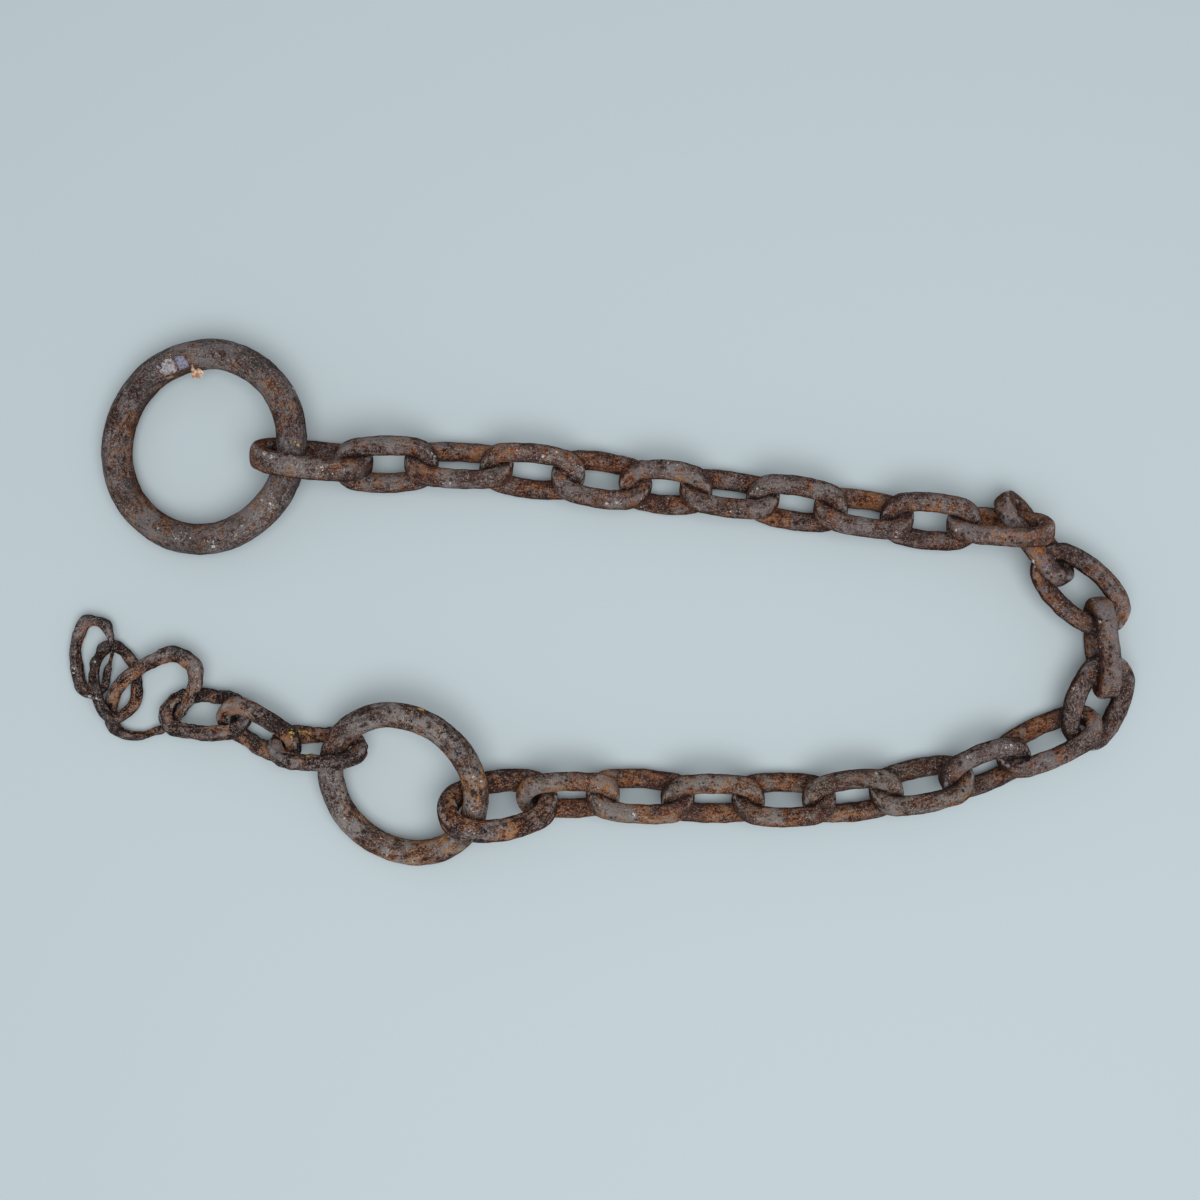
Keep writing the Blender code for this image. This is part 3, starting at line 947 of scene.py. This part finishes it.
    # Specks of lime and paint; the pale specks also stand for painted glints.
    for mask, paint in PAINTS.items():
        near = n.mask(mask)
        speck = n.sum((near, 1), (mottle, 0.18), (fine, 0.3), (grain, 0.22))
        speck = n.times(n.ramp(speck, 0.42, 0.58), n.ramp(near, 0.05, 0.25, 0, 0.92))
        colour = n.mix(speck, colour, paint)

    roughness = n.sum((n.ramp(top, 0, 1, 0.92, 0.72), 1), (fine, 0.03))
    n.finish(Base_Color=colour, Roughness=roughness, Specular_IOR_Level=0.12)
    sunk = n.ramp(pit, 0, 0.6)
    height = n.sum((mottle, 0.22), (fine, 0.15), (grain, 0.05), (spot, -0.3), (sunk, -0.4))
    n.bump(0.9, look["bump"], height)
    return n.material


# What every rust has, unless its own look says otherwise.
CHAIN = {
    "tones": ((42, 23, 16), (68, 44, 34), (89, 65, 55), (102, 84, 77), (122, 107, 100)),
    "contrast": 0.95, "painted_side_shade": 2.6, "painted_inner_shade": 0.2, "broad": 0.48, "blotch": 0.44,
    "cool": (0.9, 0.995, 1.1), "warm": (1.5, 0.86, 0.36), "hues": (0.55, 0.58, 0.48, 0.08),
    "top_hue": -1.1, "inward": 0.5, "greying": 0.5, "tint": (78, 60, 56), "tinting": 0.3,
    "light": (151, 148, 147), "fleck": 0.6, "ridge_highlight": 0.15, "rub_and_highlight": 0.75, "scratch": 0.7,
    "pit": (34, 27, 32), "pit_strength": 0.95, "spots": 0.5, "bump": 0.35,
}
OWN_LOOKS = {
    "far": {},
    "large_ring": {
        "tones": ((44, 29, 26), (64, 46, 41), (79, 62, 57), (92, 77, 73), (116, 104, 99)),
        "contrast": 1.15, "painted_side_shade": 1.5, "painted_inner_shade": 0.3, "blotch": 0.25, "top_hue": 0.5,
        "warm": (1.46, 0.86, 0.4), "hues": (0.3, 0.4, 0.6, 0.15), "inward": 0.45,
        "tint": (66, 64, 61), "tinting": 0.4, "spots": 0.35, "fleck": 0.4,
    },
    "small_ring": {
        "tones": ((46, 29, 22), (72, 53, 45), (93, 76, 69), (108, 94, 86), (134, 122, 114)),
        "contrast": 1.1, "painted_side_shade": 0.8, "painted_inner_shade": -0.25, "broad": 0.42, "blotch": 0.5,
        "hues": (0.35, 0.55, 0.62, 0.12), "greying": 0.35, "spots": 0.8,
    },
    "turn": {
        "tones": ((42, 24, 18), (66, 44, 35), (88, 66, 57), (102, 83, 77), (121, 105, 99)),
        "contrast": 0.85, "inward": 0.6, "greying": 0.25, "spots": 0.7,
    },
    "link_24": {
        "tones": ((34, 20, 16), (58, 38, 29), (80, 59, 49), (98, 80, 72), (128, 112, 104)),
        "contrast": 1.2, "inward": 0.8, "spots": 0.9,
    },
    "near": {
        "tones": ((44, 25, 16), (70, 47, 34), (91, 68, 54), (105, 87, 75), (128, 112, 102)),
        "contrast": 1.05, "hues": (0.6, 0.65, 0.5, 0.08), "warm": (1.52, 0.85, 0.34),
    },
    "tail": {
        "tones": ((26, 15, 12), (48, 31, 25), (74, 53, 45), (96, 77, 69), (130, 112, 103)),
        "contrast": 1.2, "painted_side_shade": 1.8, "painted_inner_shade": -0.4, "broad": 0.8, "blotch": 0.55,
        "warm": (1.46, 0.87, 0.42), "hues": (0.35, 0.45, 0.45, 0.2), "inward": 1.6,
        "greying": 0.55, "fleck": 0.7, "ridge_highlight": 0.12, "rub_and_highlight": 0.6, "spots": 0.6, "bump": 0.6,
    },
}
RUSTS = {name: rust(name + "_rust", {**CHAIN, **own}) for name, own in OWN_LOOKS.items()}
SLOTS = {"large_ring": "ring_rust", "small_ring": "ring_rust", "tail": "tail_rust"}


def add_piece(name, mesh, material, slot):
    """A piece of the chain's own body, with its material; the slot is not used."""
    piece = bpy.data.objects.new(name, mesh)
    bpy.context.scene.collection.objects.link(piece)
    mesh.materials.append(material)
    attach(piece, "root")
    return piece


def build_chain():
    """The rings and links; returns the large ring's upper surface."""
    surface = None
    pieces = list(all_lines())
    lines = {name: line for name, line, _ in pieces}
    for seed, (name, line, around) in enumerate(pieces, 1):
        points, masks = shape(name, line, around, seed, neighbours(name, lines))
        mesh = grid_mesh(name + "_rusty", points, len(line), around, masks)
        family = wear_family(name)
        piece = add_piece(name + "_rusty", mesh, RUSTS[family], SLOTS.get(family, "link_rust"))
        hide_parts(name)
        if name == "large_ring":
            surface = points - OFFSET
    return surface[surface[:, 2] > RINGS[0][2][2]]


# -------- paper on the large ring
# Lengths in mm; the iron's height is looked for within the search, starting from the first.
PAPER_LIFT = 0.3
PAPER_THICKNESS = 0.15
FIRST_HEIGHT, SEARCH = 24, 20
# Points round a scrap, and rows from its middle to its rim.
PAPER_GRID = (96, 10)
# Noises of the torn rims and of the folds: size in mm, first seed, octaves.
RIM_NOISE, RIM_SWING = (1.1, 61, 2), 0.16
FOLD_NOISE = (2.6, 71, 3)
# Noises of the paper's colour, as for the rust.
PAPER_FINE = (900, 3, 0.65, 0, 7)
STAINS = (420, 3, 0.6, 0.4, 31)
# Dark, light and stained colour, and the share that is stained.
PAPER_FINISHES = {
    "blue_paper": ((92, 92, 112), (134, 134, 150), (120, 100, 84), 0.25),
    "pale_paper": ((120, 118, 130), (168, 162, 160), (110, 82, 68), 0.58),
    "brown_paper": ((120, 94, 76), (156, 130, 108), (70, 46, 40), 0.4),
    "peach_paper": ((168, 122, 88), (230, 208, 192), (150, 104, 74), 0.45),
}


def height_over(surface, xy):
    """Height of a surface's nearest points at each place."""
    near = surface[np.abs(surface[:, :2] - xy.mean(0)).max(1) < SEARCH]
    distance = ((xy[:, None, :] - near[None, :, :2]) ** 2).sum(2)
    pick = np.argpartition(distance, 4, axis=1)[:, :4]
    weight = 1 / (np.take_along_axis(distance, pick, 1) + 0.02)
    return (near[pick, 2] * weight).sum(1) / weight.sum(1)


def paper_finish(name, dark, light, stain, share):
    """Weathered paper, stained in spots and round the rim."""
    n = Nodes(name)
    mottle, fine = n.noise(*MOTTLE), n.noise(*PAPER_FINE)
    tone = n.ramp(n.sum((mottle, 0.8), (fine, 0.6)), -1.4, 1.4)
    colour = n.mix(tone, srgb(*dark), srgb(*light))
    worn = n.sum((n.noise(*STAINS), 1), (fine, 0.3), (n.mask("rim"), 1.6, 0.75))
    stained = n.ramp(worn, 1.9 - 2.2 * share, 2.5 - 2.2 * share)
    colour = n.mix(stained, colour, srgb(*stain))
    n.finish(Base_Color=colour, Roughness=0.85, Specular_IOR_Level=0.2)
    n.bump(0.6, 0.2, n.sum((mottle, 0.3), (fine, 0.2)))
    return n.material


def torn_rim(outline, count, seed):
    """Evenly spaced, ragged places along a scrap's outline, and their middle."""
    size, first_seed, octaves = RIM_NOISE
    corners = np.array(outline + outline[:1])
    step = np.concatenate([[0], np.cumsum(np.hypot(*np.diff(corners, axis=0).T))])
    at = np.arange(count) / count * step[-1]
    edge = np.stack([np.interp(at, step, corners[:, k]) for k in (0, 1)], 1)
    middle = edge.mean(0)
    flat = np.column_stack([edge, np.zeros(count)])
    jitter = cloud(flat, size, first_seed + seed, octaves) - 0.5
    return middle + (edge - middle) * (1 + RIM_SWING * jitter)[:, None], middle


def scrap_points(outline, crumple, seed, surface):
    """Points of a scrap that follows the surface, and how near the rim each one is."""
    around, deep = PAPER_GRID
    edge, middle = torn_rim(outline, around, seed)
    share = np.arange(1, deep + 1) / deep
    plan = (middle + share[:, None, None] * (edge - middle)).reshape(-1, 2)
    plan = np.vstack([middle, plan])
    rim = np.concatenate([[0], np.repeat(share, around)])
    z = np.full(len(plan), FIRST_HEIGHT)
    for _ in range(4):
        xy = plan * (1 - z / EYE_HEIGHT)[:, None]
        z = height_over(surface, xy)
    size, first_seed, octaves = FOLD_NOISE
    folds = cloud(np.column_stack([xy, z]), size, first_seed + seed, octaves)
    folds = np.abs(folds - 0.5) * 2
    z = z + PAPER_LIFT + crumple * (folds + 0.5 * rim ** 4)
    return np.column_stack([xy, z]) + OFFSET, rim


def scrap_faces(points):
    """A fan round the middle point and rings of quads outside it, all facing up."""
    around, deep = PAPER_GRID
    sides = [(i, (i + 1) % around) for i in range(around)]
    faces = [(0, 1 + i, 1 + j) for i, j in sides]
    for k in range(deep - 1):
        first, second = 1 + k * around, 1 + (k + 1) * around
        faces += [(first + i, second + i, second + j, first + j) for i, j in sides]
    a, b, c = points[list(faces[0])]
    if np.cross(b - a, c - a)[2] < 0:
        faces = [face[::-1] for face in faces]
    return faces


def build_papers(surface):
    """Torn scraps that lie on the ring and follow its surface."""
    finishes = {name: paper_finish(name, *look) for name, look in PAPER_FINISHES.items()}
    for seed, (name, (outline, crumple, finish)) in enumerate(PAPERS.items()):
        points, rim = scrap_points(outline, crumple, seed, surface)
        faces = scrap_faces(points)
        mesh = bpy.data.meshes.new("ring_paper_" + name)
        mesh.from_pydata((points * MM).tolist(), [], faces)
        mesh.polygons.foreach_set("use_smooth", np.ones(len(faces), dtype=bool))
        put_mask(mesh, "rim", rim)
        piece = add_piece("ring_paper_" + name, mesh, finishes[finish], "ring_rust")
        thick = piece.modifiers.new("thickness", "SOLIDIFY")
        thick.thickness = PAPER_THICKNESS * MM
        thick.offset = 1


build_papers(build_chain())


# -------- floor, light and camera
# Lengths in metres, but for the lens and its sensor in mm.
FLOOR_REACH = 4
FLOOR_COLOUR = srgb(185, 197, 201)
SKY_COLOUR, SKY_STRENGTH = (0.93, 0.97, 1), 0.45
LAMP_PLACE, LAMP_SIZE, LAMP_POWER = (0.2, -0.45, 1.9), 2, 33
LENS, SENSOR = 54, 36


def build_stage():
    """A plain pale floor, soft daylight, and the photo's camera straight over the chain."""
    scene = bpy.context.scene
    n = Nodes("pale_floor")
    n.finish(Base_Color=FLOOR_COLOUR, Roughness=0.9)
    mesh = bpy.data.meshes.new("floor")
    signs = ((-1, -1), (1, -1), (1, 1), (-1, 1))
    corners = [(FLOOR_REACH * x, FLOOR_REACH * y, 0) for x, y in signs]
    mesh.from_pydata(corners, [], [(0, 1, 2, 3)])
    mesh.materials.append(n.material)
    floor = bpy.data.objects.new("floor", mesh)
    scene.collection.objects.link(floor)

    world = bpy.data.worlds.new("soft_daylight")
    scene.world = world
    world.use_nodes = True
    sky = world.node_tree.nodes["Background"].inputs
    sky["Color"].default_value = (*SKY_COLOUR, 1)
    sky["Strength"].default_value = SKY_STRENGTH

    lamp = bpy.data.lights.new("window", "AREA")
    lamp.shape = "DISK"
    lamp.size = LAMP_SIZE
    lamp.energy = LAMP_POWER
    light = bpy.data.objects.new("window", lamp)
    light.location = LAMP_PLACE
    towards = Vector((0, 0, 0)) - light.location
    light.rotation_euler = towards.to_track_quat("-Z", "Y").to_euler()
    scene.collection.objects.link(light)

    lens = bpy.data.cameras.new("camera")
    lens.sensor_width = SENSOR
    lens.lens = LENS
    camera = bpy.data.objects.new("camera", lens)
    camera.location = (OFFSET + [0, 0, EYE_HEIGHT]) * MM
    scene.collection.objects.link(camera)
    scene.camera = camera
    scene.view_settings.view_transform = "Standard"


build_stage()
